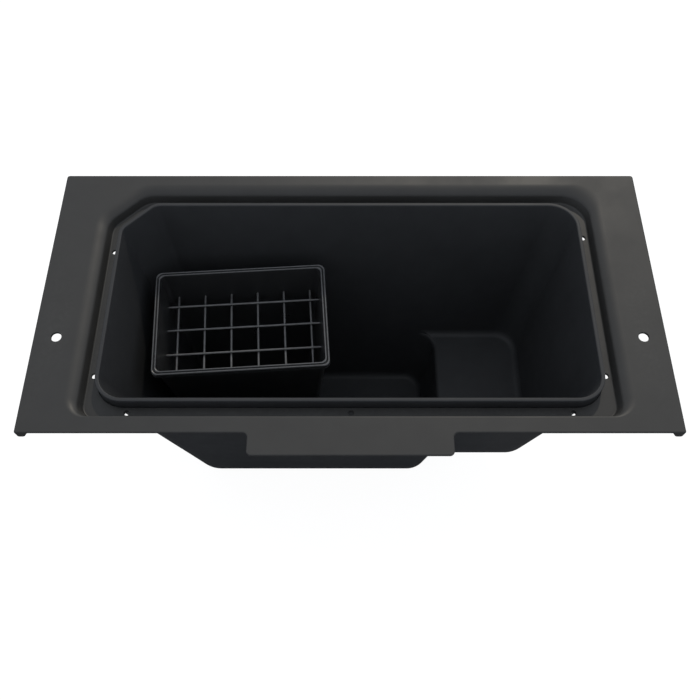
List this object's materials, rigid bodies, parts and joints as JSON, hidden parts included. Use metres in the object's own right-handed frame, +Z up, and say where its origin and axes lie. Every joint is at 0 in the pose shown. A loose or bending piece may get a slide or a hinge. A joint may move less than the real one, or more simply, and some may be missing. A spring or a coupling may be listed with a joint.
{
  "type": "tool storage caddy",
  "caption": "Drop-in tool storage caddy: flat guttered panel, stepped tub with an upstanding rim, and a lift-out basket with a wire grid.",
  "frame": {"origin": "centre of the object's box in X and Y, on the plane the deep pocket stands on", "axes": "+Z up out of the tub, +X along the panel to the right as seen from the tab, +Y from the tab to the back edge"},
  "size_m": [0.52, 0.276, 0.25],
  "materials": {
    "panel_plastic": "satin charcoal moulded sheet, faint grain",
    "tub_plastic": "satin black moulded plastic, fine grain",
    "basket_plastic": "satin dark grey moulded plastic",
    "grid_wire": "grey coated steel wire, semi-gloss",
    "gasket_rubber": "matt black foam rubber",
    "screw_steel": "zinc plated steel"
  },
  "bodies": {
    "caddy": {"top_panel": "panel_plastic", "storage_tub": "tub_plastic", "tub_gasket": "gasket_rubber", "tub_screw_01": "screw_steel", "tub_screw_02": "screw_steel", "tub_screw_03": "screw_steel", "tub_screw_04": "screw_steel", "tub_screw_05": "screw_steel", "tub_screw_06": "screw_steel", "tub_screw_07": "screw_steel", "tub_screw_08": "screw_steel", "tub_screw_09": "screw_steel", "tub_screw_10": "screw_steel", "tub_screw_11": "screw_steel", "tub_screw_12": "screw_steel"},
    "basket": {"tool_basket": "basket_plastic", "grid_long_wire_1": "grid_wire", "grid_long_wire_2": "grid_wire", "grid_long_wire_3": "grid_wire", "grid_cross_wire_1": "grid_wire", "grid_cross_wire_2": "grid_wire", "grid_cross_wire_3": "grid_wire", "grid_cross_wire_4": "grid_wire", "grid_cross_wire_5": "grid_wire", "grid_cross_wire_6": "grid_wire"}
  },
  "joints": [
    {"name": "basket_lift", "type": "slide", "parent": "caddy", "child": "basket", "axis": [0, 0, 1], "range_m": [0, 0.27]}
  ]
}
